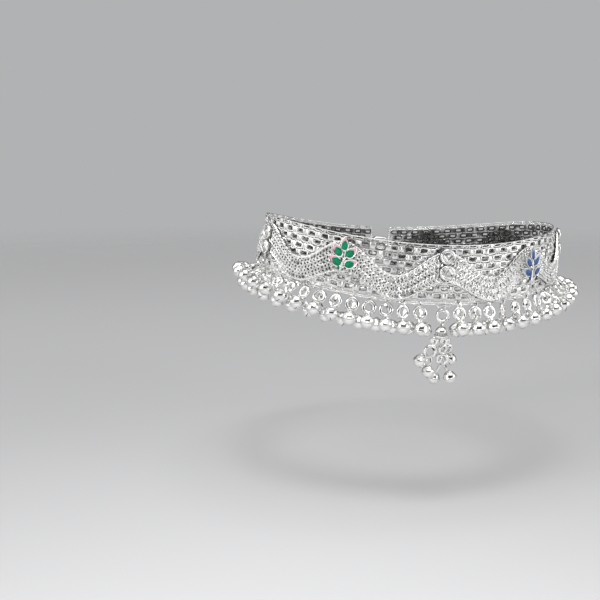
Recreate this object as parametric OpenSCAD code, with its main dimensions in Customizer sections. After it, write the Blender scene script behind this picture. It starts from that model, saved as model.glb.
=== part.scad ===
/* [Loop] */
// Half length of the loop, front to back, at the middle of the wall
loop_half_length = 47.5; // [44:0.5:50]
// Half width of the loop, side to side, at the middle of the wall
loop_half_width = 35.2; // [33:0.2:38]
// How far the front and the back rise, and the two sides sink
saddle = 2.8; // [0:0.2:4]
// Angle that lifts the front of the loop
front_lift = 2.3; // [0:0.1:5]
// Room between the two ends of the band, which the clasp fills
clasp_room = 6.4; // [5:0.2:9]

/* [Band] */
// Height of the band
band_h = 16.5; // [15.5:0.5:19]
// Thickness of the band's links
band_wall = 1.2; // [0.8:0.1:1.6]
// How much further out the bottom edge lies than the top edge
band_flare = 1.9; // [0:0.1:3]

/* [Wave lattice] */
// Length of one wave along the band
wave_length = 28.1; // [27:0.1:30]
// Middle height of the wave's upper rim over the band's bottom edge
rim_mid = 11; // [10:0.1:11]
// Rise and fall of the upper rim
rim_swing = 3.7; // [3:0.1:4.4]
// Middle height of the lattice's lower edge
foot_mid = 3.1; // [2.9:0.1:3.3]
// Rise and fall of the lower edge
foot_swing = 2.8; // [1:0.1:2.8]
// Thickness of the lattice
lattice_t = 0.8; // [0.6:0.1:1.2]
// Gap between pieces that lie on each other
seat_gap = 0.2; // [0.1:0.05:0.3]

/* [Double rings] */
// Height of the upper coil over the band's bottom edge
upper_coil_v = 13.35; // [13.2:0.05:13.6]
// Height of the lower coil over the band's bottom edge
lower_coil_v = 8.85; // [8.6:0.05:9]
// Radius of each coil, at the middle of its wire
coil_r = 1.8; // [1.6:0.05:1.8]
// Radius of the inner coil
coil_inner_r = 0.95; // [0.8:0.05:1]
// Thickness of the coil's wire
coil_wire = 0.7; // [0.5:0.05:0.7]

/* [Leaf sprigs] */
// Height of the green sprigs' middle over the band's bottom edge
green_sprig_v = 10.7; // [10:0.1:11]
// Height of the blue sprigs' middle over the band's bottom edge
blue_sprig_v = 9.3; // [8.8:0.1:11]
// Thickness of the silver sprig
sprig_t = 0.9; // [0.8:0.05:1.2]
// Width of the silver rim round each leaf
leaf_rim = 0.28; // [0.2:0.02:0.32]
// Depth of the cells that hold the enamel
cell_depth = 0.5; // [0.3:0.05:0.6]
// Width of the stem and of the leaves' stalks
stem_w = 0.5; // [0.4:0.05:0.7]

/* [Fringe] */
// Spacing of the rings along the band
ring_pitch = 4.62; // [4.6:0.02:4.64]
// How much further from the drop the rings of the front half start
front_start = 2; // [2:0.1:2.2]
// Outer diameter of each ring
ring_od = 4.2; // [4:0.05:4.3]
// Thickness of the ring's wire
ring_wire = 0.75; // [0.7:0.05:0.8]
// Diameter of a bell
bell_d = 4.3; // [4:0.05:4.3]
// Outward lean of the fringe at the sides, past the band's own slope
lean_sides = 6; // [2:1:10]
// Outward lean of the fringe at the front
lean_front = 56; // [40:1:60]
// Outward lean of the fringe at the back
lean_back = 40; // [30:1:50]

/* [Drop] */
// Diameter of the cap
cap_d = 4.2; // [4:0.05:4.3]
// Height of the cap
cap_h = 3; // [2.8:0.1:3]
// Diameter of the drop's bells
drop_bell_d = 3.9; // [3.7:0.05:3.9]

/* [Hidden] */
$fn = 48;
silver = "gainsboro";
bright_silver = "whitesmoke";
leaf_green = "seagreen";
leaf_blue = "royalblue";

// Crests of the wave, counted from the near middle, and what stands on each
// One row a double ring: its crest, and how much lower than the others it sits
DOUBLE_RINGS = [[-4, 0], [-2, 1.8], [0, 0], [2, 0], [4, 0]];
GREEN_CRESTS = [-1, 3];
BLUE_CRESTS = [-3, 1];
SECTORS_PER_HALF = 9;
RINGS_PER_SECTOR = 3;

function numbered(name, count) = [for (i = [1:count]) str(name, "_", i)];

// The loop is an oval. Its angle is -90 at the near middle, 0 at the back and 90 at the clasp
function oval(turn) = [loop_half_length * cos(turn), loop_half_width * sin(turn)];

// Running length along half the oval, from the near middle to the clasp, as [length, angle]
OVAL_STEPS = 180;
oval_table = [
    for (
        i = 0, run = 0;
        i <= OVAL_STEPS;
        run = run + norm(oval(i - 89) - oval(i - 90)), i = i + 1
    ) [run, i - 90]
];
half_run = oval_table[OVAL_STEPS][0];

// Angle at a length from the near middle, plus towards the back and minus towards the front
function turn_at(s) = s >= 0 ? lookup(s, oval_table) : -180 - lookup(-s, oval_table);

// Outward normal and heading of the oval, seen from above
function normal_at(turn) =
    let (n = [loop_half_width * cos(turn), loop_half_length * sin(turn)]) n / norm(n);
function heading_at(turn) = atan2(loop_half_width * cos(turn), -loop_half_length * sin(turn));

// Point of the wall at length s and height v over the bottom edge, stood proud of its middle
function wall_point(s, v, proud = 0) =
    let (
        turn = turn_at(s),
        out = band_flare * (1 - v / band_h) + proud,
        flat = oval(turn) + normal_at(turn) * out
    ) [flat[0], flat[1], v - band_h / 2 + saddle * cos(2 * turn)];

band_end = half_run - clasp_room / 2;
flare_angle = atan(band_flare / band_h);
wall_out = band_wall / 2;
lattice_in = wall_out + seat_gap;
lattice_out = lattice_in + lattice_t;
trim_in = lattice_out + seat_gap;

// Everything stands in the tilted frame of the loop
module worn() {
    rotate([0, front_lift, 0]) children();
}

// Stands its children on the wall: X along the band, Z up the wall, -Y outward
module on_wall(s, v, proud = 0) {
    translate(wall_point(s, v, proud))
        rotate([-flare_angle, 0, heading_at(turn_at(s))])
            children();
}

// Lays a flat outline against the wall, with its thickness outward
module laid(thickness) {
    rotate([90, 0, 0]) linear_extrude(thickness) children();
}

// Straight round wire between two points
module wire(from, to, thick) {
    along = to - from;
    translate(from)
        rotate([0, acos(along[2] / norm(along)), atan2(along[1], along[0])])
            cylinder(h = norm(along), d = thick);
}

// Ring that faces outward, with its middle at the origin
module facing_ring(outer_d, thick) {
    rotate([90, 0, 0])
        rotate_extrude()
            translate([(outer_d - thick) / 2, 0]) circle(d = thick);
}

// Closed wall swept along the band between two edges, given as functions of the length
module swept_wall(stations, low, high, inside, outside) {
    last = len(stations) - 1;
    corners = [
        for (s = stations) each [
            wall_point(s, low(s), inside),
            wall_point(s, low(s), outside),
            wall_point(s, high(s), outside),
            wall_point(s, high(s), inside)
        ]
    ];
    sides = [
        for (i = [0:last - 1], k = [0:3])
            let (a = 4 * i + k, b = 4 * i + (k + 1) % 4) each [[a, a + 4, b], [b, a + 4, b + 4]]
    ];
    e = 4 * last;
    ends = [[0, 1, 2], [0, 2, 3], [e, e + 2, e + 1], [e, e + 3, e + 2]];
    polyhedron(points = corners, faces = concat(sides, ends), convexity = 6);
}

function spread(end, steps) = [for (i = [0:steps]) -end + 2 * end * i / steps];

// The band

BAND_STEPS = 96;

module mesh_band() {
    color(silver)
        worn()
            swept_wall(
                spread(band_end, BAND_STEPS),
                function(s) 0,
                function(s) band_h,
                -wall_out,
                wall_out
            );
}

LATTICE_STEPS = 144;
// How far the lattice stops short of the band's ends
lattice_short = 0.6;
lattice_end = band_end - lattice_short;
function wave(s) = cos(360 * s / wave_length);

module wave_lattice() {
    color(bright_silver)
        worn()
            swept_wall(
                spread(lattice_end, LATTICE_STEPS),
                function(s) foot_mid + foot_swing * wave(s),
                function(s) rim_mid + rim_swing * wave(s),
                lattice_in,
                lattice_out
            );
}

// Plain bar that fills the room between the band's ends
clasp_h = 9;
clasp_t = 2.4;
clasp_gap = 0.25;

module clasp() {
    color(silver)
        worn()
            on_wall(half_run, band_h / 2)
                intersection() {
                    cube([clasp_room - 2 * clasp_gap, clasp_t, clasp_h], center = true);
                    rotate([0, 90, 0]) cylinder(h = clasp_room, d = clasp_h, center = true);
                }
}

// Double rings, each two soldered coils with a bead in the middle

coil_plate_t = 0.35;
coil_bead_d = 1;
coil_bar_w = 1.2;

module coil() {
    rotate([90, 0, 0]) {
        cylinder(h = coil_plate_t, r = coil_r);
        for (r = [coil_r, coil_inner_r])
            rotate_extrude() translate([r, coil_wire / 2]) circle(d = coil_wire);
        translate([0, 0, coil_plate_t]) sphere(d = coil_bead_d);
    }
}

module double_ring(place) {
    middle = (upper_coil_v + lower_coil_v) / 2 - place[1];
    half_step = (upper_coil_v - lower_coil_v) / 2;
    color(bright_silver)
        worn()
            on_wall(place[0] * wave_length, middle, trim_in) {
                for (side = [-1, 1]) translate([0, 0, side * half_step]) coil();
                laid(coil_plate_t / 2) square([coil_bar_w, 2 * half_step], center = true);
            }
}

// Leaf sprigs

// One row a leaf: across, up, turn to the left, length and width of its enamel
LEAVES = [
    [0.15, 2.9, 0, 3.4, 1.5],
    [-1.65, 0.75, 32, 3.3, 1.7],
    [2.05, 0.75, -36, 3.3, 1.7],
    [-2.15, -2.25, 64, 3.4, 2.0],
    [2.15, -2.35, -58, 3.1, 1.6]
];
// One row a stalk: its leaf, and where it leaves the stem, across and up
STALKS = [[0, 0.3, 0.9], [1, -0.1, -1.1], [2, 0.25, -1.2], [3, -0.5, -3.3], [4, -0.35, -3.7]];
STEM_TOP = [0.3, 1.1];
STEM_FOOT = [-0.8, -4.4];
enamel_gap = 0.04;

// Pointed leaf between two arcs
module leaf_outline(length, width) {
    r = (length * length + width * width) / (4 * width);
    intersection() {
        translate([r - width / 2, 0]) circle(r);
        translate([width / 2 - r, 0]) circle(r);
    }
}

module placed_leaf(leaf, grow) {
    translate([leaf[0], leaf[1]])
        rotate(leaf[2])
            leaf_outline(leaf[3] + 2 * grow, leaf[4] + 2 * grow);
}

module flat_bar(from, to, width) {
    along = to - from;
    translate(from)
        rotate(atan2(along[1], along[0]))
            translate([0, -width / 2]) square([norm(along), width]);
}

module sprig_body() {
    difference() {
        laid(sprig_t) {
            for (leaf = LEAVES) placed_leaf(leaf, leaf_rim);
            flat_bar(STEM_FOOT, STEM_TOP, stem_w);
            for (stalk = STALKS)
                flat_bar([stalk[1], stalk[2]], [LEAVES[stalk[0]][0], LEAVES[stalk[0]][1]], stem_w);
        }
        translate([0, cell_depth - sprig_t, 0])
            laid(2 * sprig_t)
                for (leaf = LEAVES) placed_leaf(leaf, 0);
    }
}

module enamel_fill() {
    translate([0, cell_depth - sprig_t - enamel_gap, 0])
        for (leaf = LEAVES)
            laid(cell_depth - 2 * enamel_gap) placed_leaf(leaf, -enamel_gap);
}

module sprig(crest, v) {
    color(bright_silver) worn() on_wall(crest * wave_length, v, trim_in) sprig_body();
}

module enamel(crest, v, tint) {
    color(tint) worn() on_wall(crest * wave_length, v, trim_in) enamel_fill();
}

// Bell fringe: a rail wire under the band, with linked rings soldered to it, each with two bells

rail_d = 0.6;
rail_v = -0.45;
rail_break = 0.15;
rail_bead_d = 0.8;
rail_inset = 0.24;
link_d = 0.9;
ring_down = 2.5;
neck_d = 0.6;
// Middles of a ring's two bells: across, inward and up
front_bell = [0, -1.9, -6.95];
back_bell = [0, 2.5, -7.2];
// Further across for the back bell, by its ring's length along the band
BACK_ACROSS = [[-1, 2.1], [0, 0], [18.5, 0], [37, 2.1]];

// Length along the band of ring n of a half. Side is -1 towards the front and 1 towards the back
function ring_at(side, n) = side * n * ring_pitch - (side < 0 ? front_start : 0);

// Length of the rail's joint after ring n. The rail runs from the drop's bar to the band's end
function joint_at(side, n) =
    n == 0
    ? side * ring_pitch / 2
    : side * min(abs(ring_at(side, n + 0.5)), band_end);

// Outward lean, which grows towards the front and the back of the loop
function lean_at(s) =
    let (toward_back = cos(turn_at(s)))
        lean_sides
        + (lean_front - lean_sides) * pow(max(0, -toward_back), 3)
        + (lean_back - lean_sides) * pow(max(0, toward_back), 3);

module hanging_bell(from, middle, diameter) {
    wire(from, middle, neck_d);
    translate(middle) sphere(d = diameter);
}

// One ring with its two bells
module bell_group(across) {
    ring_top = -ring_down + (ring_od - ring_wire) / 2;
    ring_foot = [0, 0, -ring_down - (ring_od - ring_wire) / 2];
    wire([0, 0, 0], [0, 0, ring_top], link_d);
    translate([0, 0, -ring_down]) facing_ring(ring_od, ring_wire);
    hanging_bell(ring_foot, front_bell, bell_d);
    hanging_bell(ring_foot, back_bell + [across, 0, 0], bell_d);
}

// Straight bar between two points of the rail, shortened at each end
module rail_bar(from, to, from_inset, to_inset) {
    along = (to - from) / norm(to - from);
    wire(from + along * from_inset, to - along * to_inset, rail_d);
}

module fringe_sector(side, sector) {
    first = (sector - 1) * RINGS_PER_SECTOR + 1;
    last = RINGS_PER_SECTOR - 1;
    joints = [
        for (k = [0:RINGS_PER_SECTOR]) wall_point(joint_at(side, first + k - 1), rail_v)
    ];
    color(silver)
        worn()
            for (k = [0:last]) {
                s = ring_at(side, first + k);
                rail_bar(
                    joints[k],
                    joints[k + 1],
                    k == 0 ? rail_break : rail_inset,
                    k == last ? rail_break : rail_inset
                );
                if (k < last) translate(joints[k + 1]) sphere(d = rail_bead_d);
                on_wall(s, rail_v) rotate([-lean_at(s), 0, 0]) bell_group(lookup(s, BACK_ACROSS));
            }
}

// The drop swings on a straight bar under the near middle of the band

pivot_v = -0.95;
pivot = wall_point(0, pivot_v);
bar_half = 1.9;
bar_bead_d = 0.84;
barrel_d = 1.4;
barrel_bore = 0.8;
barrel_w = 1.2;
drop_ring_down = 2.65;
eye_d = 2.6;
eye_wire = 0.5;
eye_down = 4.7;
cap_down = 5.8;
strand_wire = 0.6;
strand_neck = 0.6;

// One row a ring of a strand: across, inward, down from the pivot, and outer diameter
LEFT_RINGS = [[-2, 0, 10.1, 2.3], [-2.9, 0, 13.2, 4.4]];
MIDDLE_RINGS = [[0.9, 0, 10.1, 2.4], [0.8, 0, 12.4, 2.9], [0.9, 0, 15.3, 3.6]];
RIGHT_RINGS = [[1.9, 1.1, 10.4, 2.4], [2.9, 1.1, 12.5, 2.8]];
// One row a bell: across, inward and down from the pivot
LEFT_BELLS = [[-6.2, -0.9, 15.7], [-3.5, -1.1, 18.8]];
MIDDLE_BELLS = [[-0.9, 1.2, 21.3], [3.1, -1.3, 20.4]];
RIGHT_BELLS = [[4, 2, 15.9]];

module drop_hung() {
    worn() translate(pivot) children();
}

// Bar under the band, on two posts that end in beads
module drop_bar() {
    color(silver)
        drop_hung() {
            wire([rail_inset - bar_half, 0, 0], [bar_half - rail_inset, 0, 0], rail_d);
            for (side = [-1, 1])
                translate([side * bar_half, 0, 0]) {
                    sphere(d = bar_bead_d);
                    cylinder(h = -pivot_v - rail_break, d = rail_d);
                }
        }
}

// Ring with a barrel on top, which turns on the bar
module drop_ring() {
    color(bright_silver)
        drop_hung() {
            difference() {
                rotate([0, 90, 0]) cylinder(h = barrel_w, d = barrel_d, center = true);
                rotate([0, 90, 0]) cylinder(h = 2 * barrel_w, d = barrel_bore, center = true);
            }
            translate([0, 0, -drop_ring_down]) facing_ring(ring_od, ring_wire);
        }
}

// One row a corner: share of the cap's outer radius, and share of its height
CAP_PROFILE = [[0, 0], [1, 0], [1, 0.25], [0.86, 0.34], [0.86, 0.6], [0.6, 0.86], [0.3, 1], [0, 1]];

// Cap with a turned rim and dome, and an eye on top that holds the ring
module drop_cap() {
    color(bright_silver)
        drop_hung() {
            translate([0, 0, -cap_down - cap_h])
                rotate_extrude()
                    polygon([for (row = CAP_PROFILE) [row[0] * cap_d / 2, row[1] * cap_h]]);
            translate([0, 0, -eye_down])
                rotate([0, 0, 90]) facing_ring(eye_d, eye_wire);
        }
}

// Rings that touch in a row, with bells on necks from the last one
module strand(rings, bells) {
    foot = rings[len(rings) - 1];
    color(bright_silver)
        drop_hung() {
            for (ring = rings)
                translate([ring[0], ring[1], -ring[2]]) facing_ring(ring[3], strand_wire);
            for (bell = bells) {
                reach = [bell[0] - foot[0], foot[2] - bell[2]];
                toward = reach / norm(reach) * (foot[3] - strand_wire) / 2;
                hanging_bell(
                    [foot[0] + toward[0], foot[1], -foot[2] + toward[1]],
                    [bell[0], bell[1], -bell[2]],
                    drop_bell_d
                );
            }
        }
}

mesh_band();
wave_lattice();
clasp();
for (i = [1:len(DOUBLE_RINGS)])
    double_ring(DOUBLE_RINGS[i - 1]);
for (i = [1:len(GREEN_CRESTS)]) {
    sprig(GREEN_CRESTS[i - 1], green_sprig_v);
    enamel(GREEN_CRESTS[i - 1], green_sprig_v, leaf_green);
}
for (i = [1:len(BLUE_CRESTS)]) {
    sprig(BLUE_CRESTS[i - 1], blue_sprig_v);
    enamel(BLUE_CRESTS[i - 1], blue_sprig_v, leaf_blue);
}
for (i = [1:SECTORS_PER_HALF]) {
    fringe_sector(-1, i);
    fringe_sector(1, i);
}
drop_bar();
drop_ring();
drop_cap();
strand(LEFT_RINGS, LEFT_BELLS);  // drop_strand_left
strand(MIDDLE_RINGS, MIDDLE_BELLS);  // drop_strand_middle
strand(RIGHT_RINGS, RIGHT_BELLS);  // drop_strand_right
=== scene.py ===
"""Looks of a worn silver anklet: mesh band, wave lattice, double rings, leaf sprigs, bell fringe and drop."""
import math

import bpy
import numpy as np
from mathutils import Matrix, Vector


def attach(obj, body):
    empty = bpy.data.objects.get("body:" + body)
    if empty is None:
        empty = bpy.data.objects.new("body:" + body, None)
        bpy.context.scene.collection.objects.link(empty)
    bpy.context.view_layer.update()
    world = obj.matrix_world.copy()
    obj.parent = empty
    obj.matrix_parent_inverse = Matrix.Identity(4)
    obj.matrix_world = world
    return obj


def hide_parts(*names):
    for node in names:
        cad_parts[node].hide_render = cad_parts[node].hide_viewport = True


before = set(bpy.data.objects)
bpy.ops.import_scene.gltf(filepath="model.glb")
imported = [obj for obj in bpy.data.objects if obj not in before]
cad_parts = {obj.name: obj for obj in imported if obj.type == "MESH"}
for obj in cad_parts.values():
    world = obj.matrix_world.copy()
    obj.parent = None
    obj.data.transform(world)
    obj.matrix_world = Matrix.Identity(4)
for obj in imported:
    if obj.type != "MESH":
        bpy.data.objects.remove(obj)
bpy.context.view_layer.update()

# All sizes are millimetres, and the meshes are made in metres
MM = 0.001
rng = np.random.default_rng(7)
ORIGIN = (0, 0, 0)

# The loop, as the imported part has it
LOOP_HALF_LENGTH = 47.5
LOOP_HALF_WIDTH = 35.2
SADDLE = 2.8
FRONT_LIFT = math.radians(2.3)
CLASP_ROOM = 6.4
BAND_H = 16.5
BAND_WALL = 1.2
BAND_FLARE = 1.9
SEAT_GAP = 0.2
WAVE_LENGTH = 28.1
RIM_MID, RIM_SWING = 11.0, 3.7
BASE_MID, BASE_SWING = 3.1, 2.8
LATTICE_T = 0.8
WALL_OUT = BAND_WALL / 2
LATTICE_IN = WALL_OUT + SEAT_GAP
LATTICE_OUT = LATTICE_IN + LATTICE_T
TRIM_IN = LATTICE_OUT + SEAT_GAP

# Running length along half the oval, from the near middle to the clasp
_turns = np.radians(np.arange(-90, 91))
_oval = np.stack([LOOP_HALF_LENGTH * np.cos(_turns), LOOP_HALF_WIDTH * np.sin(_turns)], 1)
_run = np.concatenate([[0], np.cumsum(np.linalg.norm(np.diff(_oval, axis=0), axis=1))])
HALF_RUN = _run[-1]
BAND_END = HALF_RUN - CLASP_ROOM / 2


def turned(axis, angle):
    """Rotation matrix about x, y or z."""
    c, s = math.cos(angle), math.sin(angle)
    return {
        "x": np.array([[1, 0, 0], [0, c, -s], [0, s, c]]),
        "y": np.array([[c, 0, s], [0, 1, 0], [-s, 0, c]]),
        "z": np.array([[c, -s, 0], [s, c, 0], [0, 0, 1]]),
    }[axis]


WORN = turned("y", FRONT_LIFT)


def turn_at(s):
    """Angle on the oval at a length from the near middle, plus towards the back."""
    turn = np.interp(np.abs(s), _run, _turns)
    return np.where(np.asarray(s) >= 0, turn, -math.pi - turn)


def on_band(points):
    """Takes points (along the band, inward, up from its bottom edge) to their places on the worn loop."""
    s, inward, v = np.asarray(points, float).T
    turn = turn_at(s)
    out = BAND_FLARE * (1 - v / BAND_H) - inward
    normal = np.stack([LOOP_HALF_WIDTH * np.cos(turn), LOOP_HALF_LENGTH * np.sin(turn)])
    normal = normal / np.linalg.norm(normal, axis=0)
    x = LOOP_HALF_LENGTH * np.cos(turn) + normal[0] * out
    y = LOOP_HALF_WIDTH * np.sin(turn) + normal[1] * out
    z = v - BAND_H / 2 + SADDLE * np.cos(2 * turn)
    return np.stack([x, y, z], 1) @ WORN.T


def wall_axes(s, lean=0.0):
    """Axes along, inward and up at a length of the band, leaned outward, as the columns of a matrix."""
    turn = float(turn_at(s))
    heading = math.atan2(LOOP_HALF_WIDTH * math.cos(turn), -LOOP_HALF_LENGTH * math.sin(turn))
    slope = math.atan(BAND_FLARE / BAND_H)
    return WORN @ turned("z", heading) @ turned("x", -slope - lean)


def columns(*values):
    """Points from the columns of their coordinates, where a single number fills its column."""
    return np.stack(np.broadcast_arrays(*values), 1)


# Shapes are (points, recess of each point from 0 to 1, quads, triangles); the recess paints shade on silver
# and marks the pale tip on enamel

def loft(rings, closed=False, recess=0.0):
    """Skin over rings of points, joined end to end or capped at both ends."""
    rings = np.asarray(rings, float)
    count, sides = rings.shape[:2]
    i, j = np.meshgrid(np.arange(count if closed else count - 1), np.arange(sides), indexing="ij")
    i, j = i.ravel(), j.ravel()
    i2, j2 = (i + 1) % count, (j + 1) % sides
    quads = np.stack([i * sides + j, i * sides + j2, i2 * sides + j2, i2 * sides + j], 1)
    points = rings.reshape(-1, 3)
    triangles = np.zeros((0, 3), int)
    if not closed:
        points = np.concatenate([points, rings[0].mean(0)[None], rings[-1].mean(0)[None]])
        first, last, side = count * sides, count * sides + 1, np.arange(sides)
        after, end = (side + 1) % sides, (count - 1) * sides
        triangles = np.concatenate([
            np.stack([np.full(sides, first), after, side], 1),
            np.stack([np.full(sides, last), end + side, end + after], 1),
        ])
    shape = (points, np.full(len(points), float(recess)), quads, triangles)
    return outward(shape)


def outward(shape):
    """Turns the faces of a closed skin, or of one round the origin, so that they look outward."""
    points, recess, quads, triangles = shape
    faces = np.concatenate([triangles, quads[:, [0, 1, 2]], quads[:, [0, 2, 3]]])
    a, b, c = (points[faces[:, k]] for k in range(3))
    if np.einsum("ij,ij->i", a, np.cross(b, c)).sum() < 0:
        return points, recess, quads[:, ::-1], triangles[:, ::-1]
    return shape


def tube(path, radius, sides, closed=True):
    """Round wire along a path."""
    path = np.asarray(path, float)
    if closed:
        tangent = np.roll(path, -1, 0) - np.roll(path, 1, 0)
    else:
        tangent = np.gradient(path, axis=0)
    tangent /= np.linalg.norm(tangent, axis=1)[:, None]
    if np.abs(tangent[:, 1]).max() < 0.95:
        side = np.array([0, 1, 0]) - tangent * tangent[:, 1:2]
    else:
        # A path that runs along y carries its side on from point to point
        side = np.empty_like(path)
        start = np.array([1.0, 0, 0]) if abs(tangent[0][1]) > 0.9 else np.array([0, 1.0, 0])
        for k, t in enumerate(tangent):
            start = start - t * (start @ t)
            start /= np.linalg.norm(start)
            side[k] = start
    side /= np.linalg.norm(side, axis=1)[:, None]
    other = np.cross(tangent, side)
    around = np.linspace(0, 2 * math.pi, sides, endpoint=False)
    radius = np.broadcast_to(radius, len(path))[:, None, None]
    rings = path[:, None] + radius * (
        np.cos(around)[None, :, None] * side[:, None] + np.sin(around)[None, :, None] * other[:, None]
    )
    return loft(rings, closed)


def oval_path(half_w, half_h, count, power=2.0):
    """Closed path in the x-z plane, an oval that squares up as power grows."""
    a = np.linspace(0, 2 * math.pi, count, endpoint=False)
    c, s = np.cos(a), np.sin(a)
    x = half_w * np.sign(c) * np.abs(c) ** (2 / power)
    z = half_h * np.sign(s) * np.abs(s) ** (2 / power)
    return columns(x, 0, z)


def ring(outer_d, wire_d, count, sides):
    """Ring that faces along y."""
    r = (outer_d - wire_d) / 2
    return tube(oval_path(r, r, count), wire_d / 2, sides)


def lathe(profile, sides, recess=0.0):
    """Turned shape about z from rows of (radius, height)."""
    a = np.linspace(0, 2 * math.pi, sides, endpoint=False)
    rings = [columns(r * np.cos(a), r * np.sin(a), z) for r, z in profile]
    return loft(rings, recess=recess)


def plate(outline, layers, recess=0.0):
    """Stack of an outline in x-z: each layer is (scale, depth along y)."""
    outline = np.asarray(outline, float)
    middle = outline.mean(0)
    rings = []
    for scale, depth in layers:
        flat = middle + (outline - middle) * scale
        rings.append(columns(flat[:, 0], depth, flat[:, 1]))
    return loft(rings, recess=recess)


def joined(shapes):
    """One shape from many."""
    points, recess, quads, triangles, base = [], [], [], [], 0
    for p, r, q, t in shapes:
        points.append(p)
        recess.append(r)
        quads.append(q + base)
        triangles.append(t + base)
        base += len(p)
    return np.concatenate(points), np.concatenate(recess), np.concatenate(quads), np.concatenate(triangles)


def placed(shape, offset, matrix=None):
    """A shape turned and then moved."""
    points = shape[0] if matrix is None else shape[0] @ np.asarray(matrix).T
    return (points + np.asarray(offset, float), *shape[1:])


def repeated(shape, offsets, matrices):
    """Copies of a shape, each turned and moved, as one shape."""
    points, recess, quads, triangles = shape
    count, n = len(offsets), len(points)
    every = np.einsum("kij,nj->kni", matrices, points) + np.asarray(offsets)[:, None]
    step = (np.arange(count) * n)[:, None, None]
    return (
        every.reshape(-1, 3),
        np.tile(recess, count),
        (quads[None] + step).reshape(-1, 4),
        (triangles[None] + step).reshape(-1, 3),
    )


def bent(shape):
    """A shape in band coordinates, laid on the worn loop."""
    return (on_band(shape[0]), *shape[1:])


def tilts(count, yaw, pitch, roll):
    """Small random turns about z, x and y, in degrees of spread."""
    angles = np.radians(rng.normal(0, 1, (count, 3)) * (yaw, pitch, roll))
    return np.array([turned("z", a) @ turned("x", b) @ turned("y", c) for a, b, c in angles])


# Materials

# Size of the silver's paler and darker patches, and depth of the bumps
PATCH_SIZE, BUMP_DEPTH = 2.5, 0.05


class Nodes:
    """Small helper that adds and links shader nodes."""

    def __init__(self, tree):
        self.tree = tree
        tree.nodes.clear()

    def add(self, kind, inputs=None, **settings):
        node = self.tree.nodes.new(kind)
        for key, value in settings.items():
            setattr(node, key, value)
        for key, value in (inputs or {}).items():
            if isinstance(value, bpy.types.NodeSocket):
                self.tree.links.new(value, node.inputs[key])
            else:
                node.inputs[key].default_value = value
        return node

    def noise(self, place, size, detail=3.0):
        """Noise whose lumps are about size millimetres."""
        inputs = {"Vector": place, "Scale": 1 / (size * MM), "Detail": detail}
        return self.add("ShaderNodeTexNoise", inputs).outputs[0]

    def math(self, operation, *values):
        return self.add("ShaderNodeMath", dict(enumerate(values)), operation=operation).outputs[0]

    def mix(self, factor, a, b):
        node = self.add("ShaderNodeMix", {0: factor, 6: a, 7: b}, data_type="RGBA")
        return node.outputs[2]

    def ramp(self, value, low, high):
        inputs = {"Value": value, "From Min": low, "From Max": high}
        return self.add("ShaderNodeMapRange", inputs, interpolation_type="SMOOTHSTEP").outputs[0]


def new_material(name):
    """Material with an empty shader tree, the tree's helper and the object's own coordinates."""
    material = bpy.data.materials.new(name)
    material.use_nodes = True
    n = Nodes(material.node_tree)
    return material, n, n.add("ShaderNodeTexCoord").outputs["Object"]


def silver(name, tint, painted_shade, roughness, scratch_size):
    """Polished silver with painted shade in its recesses, made uneven by its patches, worn and scratched at a
    fine scale.
    """
    material, n, place = new_material(name)
    recess = n.add("ShaderNodeAttribute", attribute_name="recess").outputs["Fac"]
    patches = n.noise(place, PATCH_SIZE)
    fine = n.noise(place, scratch_size, 4)
    stretch = n.add("ShaderNodeMapping", {"Vector": place, "Scale": (1, 1, 6), "Rotation": (0.4, 0.9, 0.2)})
    scratches = n.noise(stretch.outputs[0], scratch_size * 1.5, 2)
    # Painted shade: the recess attribute, made uneven by the patches, mixes the silver towards its painted
    # shade colour
    depth = n.ramp(n.math("ADD", recess, n.math("MULTIPLY_ADD", patches, 0.3, -0.15)), 0.2, 1.0)
    clean = n.mix(patches, (*tint, 1), (*[c * 0.93 for c in tint], 1))
    colour = n.mix(depth, clean, (*painted_shade, 1))
    rough = n.math("MULTIPLY_ADD", fine, 0.14, roughness - 0.07)
    rough = n.math("MULTIPLY_ADD", depth, 0.22, rough)
    height = n.math("ADD", n.math("MULTIPLY", fine, 0.6), n.math("MULTIPLY", scratches, 0.4))
    bump = n.add("ShaderNodeBump", {"Strength": 0.12, "Distance": BUMP_DEPTH * MM, "Height": height})
    shader = n.add("ShaderNodeBsdfPrincipled", {
        "Base Color": colour, "Metallic": 1.0, "Roughness": rough, "Normal": bump.outputs[0],
    })
    n.add("ShaderNodeOutputMaterial", {"Surface": shader.outputs[0]})
    return material


def enamel(name, deep, mid, tip):
    """Glassy enamel: a full colour in the leaf and a pale one in its tip, a little uneven."""
    material, n, place = new_material(name)
    share = n.add("ShaderNodeAttribute", attribute_name="recess").outputs["Fac"]
    clouds = n.noise(place, 0.9)
    grain = n.noise(place, 0.25, 4)
    body = n.mix(n.ramp(clouds, 0.35, 0.65), (*deep, 1), (*mid, 1))
    pale = n.mix(n.ramp(grain, 0.4, 0.9), (*tip, 1), (*[0.5 + 0.5 * c for c in tip], 1))
    colour = n.mix(n.ramp(share, 0.45, 0.55), body, pale)
    rough = n.math("MULTIPLY_ADD", grain, 0.2, 0.12)
    bump = n.add("ShaderNodeBump", {"Strength": 0.15, "Distance": BUMP_DEPTH * MM, "Height": clouds})
    shader = n.add("ShaderNodeBsdfPrincipled", {
        "Base Color": colour, "Roughness": rough, "Normal": bump.outputs[0], "IOR": 1.5,
        "Specular IOR Level": 0.3, "Coat Weight": 0.15, "Coat Roughness": 0.1,
    })
    n.add("ShaderNodeOutputMaterial", {"Surface": shader.outputs[0]})
    return material
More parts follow.
